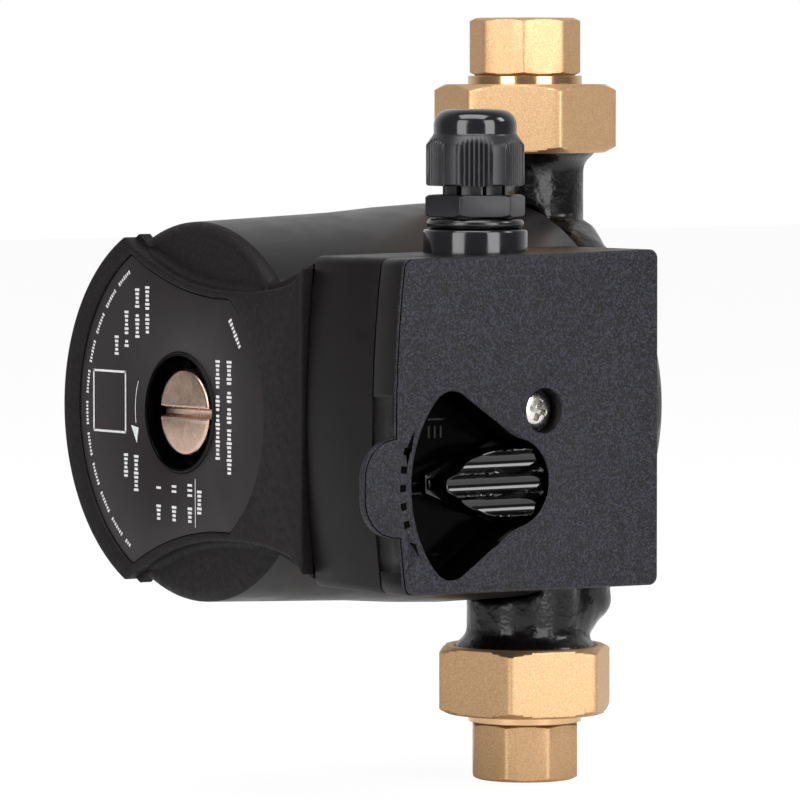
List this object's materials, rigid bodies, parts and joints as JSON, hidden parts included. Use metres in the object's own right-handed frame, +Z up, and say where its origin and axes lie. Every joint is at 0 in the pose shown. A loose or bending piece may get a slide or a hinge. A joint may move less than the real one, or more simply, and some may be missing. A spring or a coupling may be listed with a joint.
{
  "type": "hot water circulation pump",
  "caption": "Wet-rotor circulation pump for domestic hot water, with brass unions, terminal box, speed knob and cable gland.",
  "frame": {"origin": "centre of the mouth of the lower union tail", "axes": "+Z up along the pipe axis, which is the flow direction; the motor axis points along -Y, and the terminal box is on the +X side"},
  "size_m": [0.1266, 0.135, 0.1786],
  "materials": {
    "enamelled_iron": "thick gloss black paint over rough cast iron",
    "painted_aluminium": "satin black paint over die-cast aluminium",
    "printed_foil": "matt dark grey print on foil",
    "nickel_brass": "satin nickel plate, turned face",
    "moulded_box": "satin moulded plastic",
    "spark_cover": "spark-eroded texture on the face, satin sides",
    "gloss_knob": "polished moulded plastic",
    "gland_nylon": "satin moulded nylon",
    "blasted_brass": "sand-blasted brass",
    "rubber_black": "smooth moulded rubber",
    "zinc_steel": "zinc plated",
    "stainless": "drawn and turned stainless steel",
    "carbon": "ground carbon graphite",
    "impeller_plastic": "glass-filled moulded plastic",
    "lamination": "stacked electrical steel",
    "enamelled_copper": "varnished copper wire",
    "block_plastic": "natural polyamide",
    "brass_screw": "turned brass",
    "capacitor_case": "moulded case",
    "switch_case": "moulded case"
  },
  "bodies": {
    "pump_body": {"pump_housing": "enamelled_iron", "motor_shell": "painted_aluminium", "motor_screws": "zinc_steel", "housing_o_ring": "rubber_black", "bearing_plate": "stainless", "front_bearing": "carbon", "rotor_can": "stainless", "rear_bearing_carrier": "stainless", "rear_bearing": "carbon", "stator_core": "lamination", "stator_windings": "enamelled_copper", "rating_plate": "printed_foil", "vent_plug_seal": "rubber_black", "terminal_box_base": "moulded_box", "base_screws": "zinc_steel", "lead_grommet": "rubber_black", "terminal_block": "block_plastic", "terminal_screws": "zinc_steel", "earth_screw": "brass_screw", "capacitor": "capacitor_case", "speed_switch": "switch_case", "cover_gasket": "rubber_black", "terminal_box_cover": "spark_cover", "cover_screw": "zinc_steel", "gland_body": "gland_nylon", "gland_o_ring": "rubber_black", "gland_lock_nut": "gland_nylon", "gland_seal": "rubber_black", "upper_tail": "blasted_brass", "lower_tail": "blasted_brass", "upper_gasket": "rubber_black", "lower_gasket": "rubber_black"},
    "rotor": {"shaft": "stainless", "thrust_washer": "carbon", "rotor_core": "stainless", "impeller": "impeller_plastic"},
    "speed_knob": {"speed_knob": "gloss_knob"},
    "vent_plug": {"vent_plug": "nickel_brass"},
    "upper_union_nut": {"upper_union_nut": "blasted_brass"},
    "lower_union_nut": {"lower_union_nut": "blasted_brass"},
    "gland_cap_nut": {"gland_cap_nut": "gland_nylon"}
  },
  "joints": [
    {"name": "rotor_spin", "type": "hinge", "parent": "pump_body", "child": "rotor", "pos_m": [0, -0.04, 0.0893], "axis": [0, -1, 0], "continuous": true},
    {"name": "speed_select", "type": "hinge", "parent": "pump_body", "child": "speed_knob", "pos_m": [0.072, -0.066, 0.0763], "axis": [1, 0, 0], "range_deg": [-45, 45]},
    {"name": "vent_plug_turn", "type": "hinge", "parent": "pump_body", "child": "vent_plug", "pos_m": [0, -0.0967, 0.0893], "axis": [0, -1, 0], "range_deg": [0, 720]},
    {"name": "upper_union_turn", "type": "hinge", "parent": "pump_body", "child": "upper_union_nut", "pos_m": [0, 0, 0.1551], "axis": [0, 0, 1], "continuous": true},
    {"name": "lower_union_turn", "type": "hinge", "parent": "pump_body", "child": "lower_union_nut", "pos_m": [0, 0, 0.0235], "axis": [0, 0, 1], "continuous": true},
    {"name": "gland_cap_turn", "type": "hinge", "parent": "pump_body", "child": "gland_cap_nut", "pos_m": [0.0592, -0.0605, 0.1473], "axis": [0, 0, 1], "continuous": true}
  ]
}
